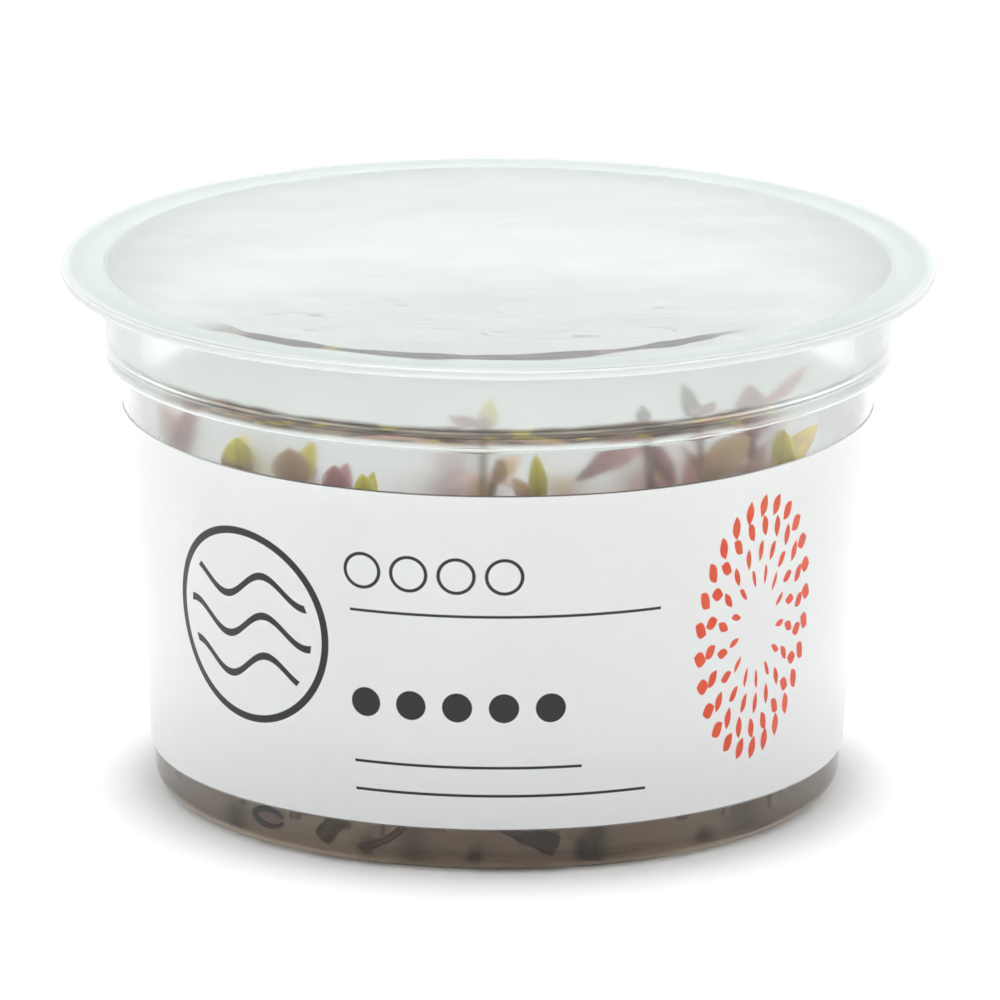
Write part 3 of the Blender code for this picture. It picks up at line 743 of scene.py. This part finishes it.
def label_finish():
    """Satin white paper with a plain printed ring, ruled lines, dots and a leaf wreath."""
    finish = Finish("printed_label", Specular_IOR_Level=LABEL_GLOSS)
    finish.glow_through(*LABEL_GLOW)
    x, y, z = finish.place()
    u = finish.around(x, y) * PRINT_RADIUS
    paper = finish.mix(finish.noise(2.5, 4.0), srgb(228, 233, 231), srgb(223, 229, 227))
    paper = finish.mix(ring_print(finish, u, z), paper, srgb(*PRINT_INK))
    paper = finish.mix(rule_print(finish, u, z), paper, srgb(*PRINT_INK))
    red = finish.mix(finish.noise(3.0, 2.0), srgb(196, 26, 14), srgb(222, 84, 40))
    paper = finish.mix(wreath_print(finish, u, z), paper, red)
    # Painted shadow: a thin dark line along the paper's top and bottom edges, at the front only.
    rise = abs(z - (LABEL_LOW + LABEL_HIGH) / 2 / MM)
    half = (LABEL_HIGH - LABEL_LOW) / 2 / MM
    edge = finish.spread(rise, half - 0.2, half - 0.1) * finish.below(abs(u), 38.0, 14.0)
    paper = finish.mix(edge, paper, srgb(78, 70, 66))
    finish.paint(Base_Color=paper, Roughness=finish.noise(6.0, 2.0) * 0.15 + 0.3)
    return finish


def label_part(centre):
    """0 on the printed side and along the edges, 1 on the side towards the cup."""
    lift = centre.to_2d().length - outer_radius(centre.z)
    return 1 if lift < LABEL_LIFT + LABEL_PAPER / 4 else 0


def make_label():
    shape = Shape()
    half_seam = LABEL_SEAM / 2 / outer_radius(LABEL_HIGH)
    heights = []
    for k in range(LABEL_ROWS + 1):
        heights.append(LABEL_LOW + (LABEL_HIGH - LABEL_LOW) * k / LABEL_ROWS)
    section = [(z, LABEL_LIFT + LABEL_PAPER) for z in heights]
    section += [(z, LABEL_LIFT) for z in reversed(heights)]
    rings = []
    for i in range(LABEL_STEPS + 1):
        angle = math.pi / 2 + half_seam + (math.tau - 2 * half_seam) * i / LABEL_STEPS
        ring = []
        for z, offset in section:
            r = outer_radius(z) + offset
            ring.append(shape.add((r * math.cos(angle), r * math.sin(angle), z)))
        rings.append(ring)
    for first, second in zip(rings, rings[1:]):
        shape.join(second, first)
    for ring, flip in ((rings[0], False), (rings[-1], True)):
        for k in range(LABEL_ROWS):
            face = (ring[k], ring[k + 1], ring[-2 - k], ring[-1 - k])
            shape.faces.append(tuple(reversed(face)) if flip else face)
    finishes = [label_finish(), label_back_finish()]
    shape.piece("wrap_label", ["label"], finishes, sharp=40, pick=label_part)


def gel_finish():
    """Brown see-through gel, which is a little rough where it lies against the wall."""
    finish = Finish("growth_gel_tint", IOR=GEL_IOR, Transmission_Weight=1.0)
    finish.dim_mirror(0.3)
    x, y, _ = finish.place()
    side = finish.spread(finish.length(x, y), 37.6, 38.2)
    finish.paint(
        Base_Color=finish.mix(finish.noise(6.0, 3.0), (1, 1, 1, 1), srgb(244, 238, 232)),
        Roughness=side * 0.15 + 0.04,
    )
    finish.tint_inside(GEL_TINT, GEL_DENSITY)
    return finish


def make_gel():
    rim_height = GEL_TOP + GEL_RIM
    corner_height = FLOOR + FLOOR_CORNER
    corner_centre = (inner_radius(corner_height) - FLOOR_CORNER, corner_height)
    corner = arc(corner_centre, FLOOR_CORNER + GEL_BOND, -90, 0, 8)
    profile = run((0.0, FLOOR - GEL_BOND), corner[0], 6) + corner
    rim = (inner_radius(rim_height) + GEL_BOND, rim_height)
    profile += run(corner[-1], rim, 6)[1:]
    profile.append(rim)
    for k in range(1, 7):
        share = k / 6
        creep = GEL_RIM * (1 - share) ** 2.2
        profile.append((rim[0] - GEL_BOND - GEL_CREEP * share, GEL_TOP + creep))
    profile += run(profile[-1], (0.0, GEL_TOP), 24)[1:]
    profile.append((0.0, GEL_TOP))

    def place(r, angle, z):
        x, y = r * math.cos(angle), r * math.sin(angle)
        if z > GEL_TOP - 0.001 * MM and r < rim[0] - GEL_BOND:
            z += GEL_SWELL * perlin.noise(Vector((x / 0.008, y / 0.008, 0.0)))
        return (x, y, z)

    shape = Shape()
    turn_profile(shape, profile, GEL_SEGMENTS, place)
    shape.piece("gel_bed", ["growth_gel"], [gel_finish()], sharp=50)


def stem_point(shoot, share):
    """The stem's centre at a share of its length: it rises, then leans to its head."""
    foot = Vector((*shoot.foot, STEM_FOOT_HEIGHT / MM)) * MM
    head = Vector(shoot.head) * MM
    knee = Vector((foot.x, foot.y, (foot.z + head.z) / 2))
    return foot.lerp(knee, share).lerp(knee.lerp(head, share), share)


def stem_point_at(shoot, z):
    foot, head = STEM_FOOT_HEIGHT, shoot.head[2] * MM
    return stem_point(shoot, min(1.0, max(0.0, (z - foot) / (head - foot))))


def leaf_room(shoot, point, z):
    """How far a leaf may reach out at height z: half-way to the next stem, or the wall."""
    room = inner_radius(z) - point.to_2d().length
    for other in SHOOTS:
        if other is not shoot:
            away = (stem_point_at(other, z) - point).to_2d().length
            room = min(room, away / 2)
    return room - LEAF_MARGIN


def stem_frame(shoot, share):
    """The stem's direction at a share of its length, and two directions square to it."""
    along = (stem_point(shoot, share + 0.01) - stem_point(shoot, share - 0.01)).normalized()
    turn = math.radians(shoot.turn)
    level = Vector((math.cos(turn), math.sin(turn), 0.0))
    side = (level - level.project(along)).normalized()
    return along, side, along.cross(side)


def stem_width(share):
    return STEM_FOOT_WIDTH + (STEM_TIP_WIDTH - STEM_FOOT_WIDTH) * share


def add_tube(shape, centres, widths, sides, **values):
    """A round closed tube along the centres."""
    rings = []
    side = None
    for i, centre in enumerate(centres):
        along = centres[min(i + 1, len(centres) - 1)] - centres[max(i - 1, 0)]
        if side is None:
            side = along.orthogonal().normalized()
        else:
            side = (side - side.project(along)).normalized()
        front = along.normalized().cross(side)
        ring = []
        for k in range(sides):
            angle = math.tau * k / sides
            out = side * math.cos(angle) + front * math.sin(angle)
            share = i / (len(centres) - 1)
            ring.append(shape.add(centre + out * widths[i] / 2, along=share, **values))
        rings.append(ring)
    for first, second in zip(rings, rings[1:]):
        shape.join(first, second)
    shape.faces.append(tuple(reversed(rings[0])))
    shape.faces.append(tuple(rings[-1]))


Blade = namedtuple("Blade", "start course across width bend fold wave low high tone")


def add_blade(shape, blade):
    """A closed leaf: narrow at the stem, broadest before its middle, and pointed."""
    length = blade.course.length
    normal = blade.course.cross(blade.across).normalized()
    rings = []
    for i in range(BLADE_STEPS):
        t = i / BLADE_STEPS
        swell = math.sin(math.pi * min(1.0, t**0.85)) ** 0.8 if t > 0 else 0.0
        half = blade.width / 2 * max(0.16, swell)
        rise = length * (0.05 * math.sin(math.pi * t) - blade.bend * t * t)
        centre = blade.start + blade.course * t + normal * rise
        red = blade.low + (blade.high - blade.low) * t
        ring = []
        for k in range(BLADE_SIDES):
            angle = math.tau * k / BLADE_SIDES
            wide = math.cos(angle)
            lift = abs(wide) * blade.fold * half
            lift += abs(wide) * blade.wave * half * math.sin(t * 14 + 2.5 * wide + blade.tone * 9)
            lift += math.sin(angle) * LEAF_THICKNESS / 2 * (1 - 0.4 * t)
            point = centre + blade.across * wide * half + normal * lift
            ring.append(shape.add(point, along=t, across=wide, red=red, tone=blade.tone))
        rings.append(ring)
    end = blade.start + blade.course - normal * length * blade.bend
    tip = [shape.add(end, along=1.0, across=0.0, red=blade.high, tone=blade.tone)]
    for first, second in zip(rings, rings[1:] + [tip]):
        shape.join(first, second)
    shape.faces.append(tuple(reversed(rings[0])))


def leaf_blade(number, index, side, rng):
    """The blade of one leaf, at the place where the plain solid has it."""
    shoot, pair = SHOOTS[number - 1], LEAF_PAIRS[index]
    up, level, front = stem_frame(shoot, pair.place)
    out = (front, -level, -front, level)[side]
    start = stem_point(shoot, pair.place) + out * stem_width(pair.place) * 0.25
    size = shoot.leaf * MM * pair.length
    width = size * LEAF_WIDTH * rng.uniform(0.95, 1.15)
    low = min(1.0, max(0.0, shoot.redness + rng.uniform(-0.2, 0.1)))
    high = min(1.0, low + rng.uniform(0.0, 0.25))
    bend = rng.uniform(0.0, 0.1)
    twist = 0.0
    leaf = LEAVES.get((number, index, side))
    if leaf:
        course = Vector(leaf.tip) * MM - start
        width, low, high, bend = leaf.width * MM, leaf.low, leaf.high, 0.02
        twist = math.radians(leaf.twist)
    else:
        tip_height = start.z + size * math.sin(math.radians(pair.rise))
        room = min(leaf_room(shoot, start, z) for z in (start.z, tip_height))
        rise = max(math.radians(pair.rise), math.acos(min(1.0, max(0.2, room / size))))
        course = (out * math.cos(rise) + up * math.sin(rise)) * size * rng.uniform(0.95, 1.05)
    across = up.cross(out)
    across = (across - across.project(course)).normalized()
    across.rotate(Quaternion(course.normalized(), twist))
    fold, wave = rng.uniform(0.1, 0.3), rng.uniform(0.03, 0.12)
    return Blade(start, course, across, width, bend, fold, wave, low, high, rng.random())


def add_bud(shape, shoot, rng):
    """The small leaves that are still folded together over the stem's head."""
    up, level, front = stem_frame(shoot, 1.0)
    for k, out in enumerate((front, -front, level, -level)):
        course = (up * 0.95 + out * 0.3) * shoot.leaf * (BUD_LENGTH - 0.06 * (k // 2)) * MM
        start = stem_point(shoot, 0.985) + out * 0.1 * MM
        across = up.cross(out).normalized()
        width = course.length * BUD_WIDTH
        red = shoot.redness * BUD_REDNESS
        add_blade(
            shape, Blade(start, course, across, width, 0.0, 0.4, 0.0, red, red, rng.random())
        )


def leaf_finish(name):
    """Green, brown, wine or nearly black leaf by how red it is, with a pale rib."""
    finish = Finish(name, Specular_IOR_Level=0.45)
    finish.glow_through(*LEAF_GLOW)
    red, tone = finish.attribute("red"), finish.attribute("tone")
    along, across = finish.attribute("along"), finish.attribute("across")
    mottle = finish.noise(1.6, 3.0)
    green = finish.mix(mottle, srgb(250, 232, 70), srgb(222, 210, 56))
    brown = finish.mix(mottle, srgb(222, 188, 144), srgb(194, 164, 128))
    wine = finish.mix(mottle, srgb(222, 158, 162), srgb(176, 122, 128))
    level = red + (mottle - 0.5) * 0.35
    blade = finish.mix(finish.spread(level, 0.12, 0.5), green, brown)
    blade = finish.mix(finish.spread(level, 0.55, 0.9), blade, wine)
    blade = finish.mix(finish.spread(level, 1.05, 1.35), blade, srgb(108, 78, 76))
    rib = finish.below(abs(across), 0.12, 0.1) * 0.35
    blade = finish.mix(rib, blade, srgb(196, 172, 120))
    blade = finish.mix(tone * 0.15, blade, srgb(124, 100, 80))
    stalk = finish.mix(red * 0.8, srgb(150, 150, 70), srgb(128, 84, 72))
    stalk = finish.mix(finish.spread(along, 0.0, 0.3), srgb(178, 160, 142), stalk)
    finish.paint(
        Base_Color=finish.mix(finish.attribute("stem"), blade, stalk),
        Roughness=finish.noise(0.7, 2.0) * 0.2 + 0.32,
    )
    finish.bump(finish.noise(0.35, 2.0), 0.35, 0.05 * MM)
    return finish


def make_shoots():
    finishes = {slot: leaf_finish(slot + "_skin") for slot in ("leaf_green", "leaf_red")}
    for number, shoot in enumerate(SHOOTS, 1):
        rng = random.Random(FIRST_SEED + number)
        shape = Shape("along", "across", "red", "tone", "stem")
        centres, widths = [], []
        for i in range(STEM_STEPS + 1):
            share = i / STEM_STEPS
            centres.append(stem_point(shoot, share))
            swelling = 0.0
            for pair in LEAF_PAIRS:
                off = (share - pair.place) / JOINT_REACH
                swelling += JOINT_SWELLING * math.exp(-(off**2))
            widths.append(stem_width(share) * (1 + swelling))
        add_tube(shape, centres, widths, STEM_SIDES, red=shoot.redness, tone=0.3, stem=1.0)
        for index in range(len(LEAF_PAIRS)):
            for side in (index % 2, index % 2 + 2):
                add_blade(shape, leaf_blade(number, index, side, rng))
        add_bud(shape, shoot, rng)
        slot = "leaf_green" if shoot.redness < GREEN_BELOW else "leaf_red"
        name = f"rotala_{number:02d}"
        shape.piece(name, [f"shoot_{number:02d}"], [finishes[slot]], sharp=60)


def against_wall(x, z, inset):
    radius = inner_radius(z) - inset
    return Vector((x, -math.sqrt(radius * radius - x * x), z))


def smooth_path(points, steps):
    """A smooth curve that passes through all the points."""
    ends = [2 * points[0] - points[1]] + points + [2 * points[-1] - points[-2]]
    path = []
    for k in range(len(points) - 1):
        a, b, c, d = ends[k : k + 4]
        for i in range(steps):
            t = i / steps
            bent = 2 * b + (c - a) * t + (2 * a - 5 * b + 4 * c - d) * t * t
            path.append((bent + (3 * b - a - 3 * c + d) * t**3) / 2)
    path.append(points[-1])
    return path


def old_stem_finish():
    finish = Finish("old_stem_skin", Specular_IOR_Level=0.1)
    streak = finish.noise(1.2, 3.0)
    finish.paint(
        Base_Color=finish.mix(streak, srgb(72, 38, 14), srgb(86, 60, 16)),
        Roughness=finish.noise(0.5, 2.0) * 0.25 + 0.4,
    )
    finish.bump(finish.noise(0.4, 3.0), 0.5, 0.08 * MM)
    return finish


def make_offcuts():
    finish = old_stem_finish()
    for number, offcut in enumerate(OFFCUTS, 1):
        inset = OFFCUT_INSET + offcut.width / 2 * MM
        points = [against_wall(x * MM, z * MM, inset) for x, z in offcut.points]
        centres = smooth_path(points, 8)
        widths = []
        for i in range(len(centres)):
            widths.append(offcut.width * MM * (1 + 0.06 * math.sin(i * 1.3)))
        shape = Shape("along", "stem")
        add_tube(shape, centres, widths, OFFCUT_SIDES, stem=1.0)
        shape.piece(f"old_stem_{number}", [f"stem_offcut_{number}"], [finish], sharp=50)


def curl_finish():
    finish = Finish("curled_leaf_skin", Specular_IOR_Level=0.1)
    mottle = finish.noise(0.9, 3.0)
    edge = finish.mix(mottle, srgb(42, 26, 26), srgb(70, 46, 44))
    middle = finish.mix(mottle, srgb(168, 132, 126), srgb(132, 104, 100))
    finish.paint(
        Base_Color=finish.mix(finish.attribute("middle"), edge, middle),
        Roughness=finish.noise(0.5, 2.0) * 0.2 + 0.4,
    )
    return finish


def make_curled_leaf():
    """The leaf's rolled dark rim, and its paler hollow middle a little further in."""
    angle = math.radians(CURL_ANGLE)
    outward = Vector((math.sin(angle), -math.cos(angle), 0.0))
    along = Vector((math.cos(angle), math.sin(angle), 0.0))
    centre = outward * (inner_radius(CURL_HEIGHT) - CURL_INSET)
    centre.z = CURL_HEIGHT
    wide, high = CURL_HALF_LENGTH - 0.35 * MM, CURL_HALF_HEIGHT - 0.3 * MM

    def around(turn, share, depth):
        point = centre + along * math.cos(turn) * wide * share - outward * depth
        point.z += math.sin(turn) * high * share
        return point

    centres, widths = [], []
    for i in range(CURL_STEPS + 1):
        centres.append(around(math.tau * (0.03 + 0.94 * i / CURL_STEPS), 1.0, 0.0))
        widths.append((0.4 + 0.45 * math.sin(math.pi * i / CURL_STEPS)) * MM)
    shape = Shape("along", "middle")
    add_tube(shape, centres, widths, 10, middle=0.0)
    rings = []
    for share, depth in CURL_BED:
        count = 1 if share == 0.0 else 24
        turns = [-math.tau * k / count for k in range(count)]
        rings.append([shape.add(around(turn, share, depth * MM), middle=1.0) for turn in turns])
    for first, second in zip(rings, rings[1:]):
        shape.join(second, first)
    shape.piece("curled_leaf_rim", ["curled_leaf"], [curl_finish()], sharp=50)


def make_stage():
    mesh = bpy.data.meshes.new("floor")
    signs = ((-1, -1), (1, -1), (1, 1), (-1, 1))
    corners = [(x * STAGE_REACH, y * STAGE_REACH, 0) for x, y in signs]
    mesh.from_pydata(corners, [], [(0, 1, 2, 3)])
    floor = bpy.data.objects.new("floor", mesh)
    floor.location.z = -STAGE_DROP
    bpy.context.scene.collection.objects.link(floor)
    pale = bpy.data.materials.new("pale_floor")
    pale.use_nodes = True
    shader = pale.node_tree.nodes["Principled BSDF"]
    shader.inputs["Base Color"].default_value = STAGE_WHITE
    shader.inputs["Roughness"].default_value = 1.0
    shader.inputs["Specular IOR Level"].default_value = 0.0
    mesh.materials.append(pale)
    world = bpy.data.worlds.new("studio")
    world.use_nodes = True
    background = world.node_tree.nodes["Background"]
    background.inputs["Color"].default_value = WORLD_WHITE
    background.inputs["Strength"].default_value = WORLD_STRENGTH
    scene = bpy.context.scene
    scene.world = world
    scene.view_settings.view_transform = "Standard"
    scene.cycles.max_bounces = MOST_BOUNCES
    scene.cycles.diffuse_bounces = DIFFUSE_BOUNCES
    scene.cycles.transmission_bounces = MOST_BOUNCES


def make_softbox(softbox):
    light = bpy.data.lights.new(softbox.name, "AREA")
    light.shape = "DISK"
    light.size = softbox.size
    light.energy = softbox.energy
    lamp = bpy.data.objects.new(softbox.name, light)
    lamp.location = softbox.location
    lamp.rotation_mode = "QUATERNION"
    lamp.rotation_quaternion = (-lamp.location).to_track_quat("-Z", "Y")
    bpy.context.scene.collection.objects.link(lamp)


def make_camera():
    data = bpy.data.cameras.new("camera")
    data.lens = CAMERA_LENS
    camera = bpy.data.objects.new("camera", data)
    elevation = math.radians(CAMERA_ELEVATION)
    back = Vector((0.0, -math.cos(elevation), math.sin(elevation)))
    camera.location = Vector(CAMERA_AIM) + back * CAMERA_DISTANCE
    camera.rotation_mode = "QUATERNION"
    roll = Quaternion((0, 0, 1), math.radians(CAMERA_ROLL))
    camera.rotation_quaternion = (-back).to_track_quat("-Z", "Y") @ roll
    bpy.context.scene.collection.objects.link(camera)
    bpy.context.scene.camera = camera


make_camera()
make_stage()
for softbox in SOFTBOXES:
    make_softbox(softbox)
make_cup()
make_film()
make_label()
make_gel()
make_shoots()
make_offcuts()
make_curled_leaf()
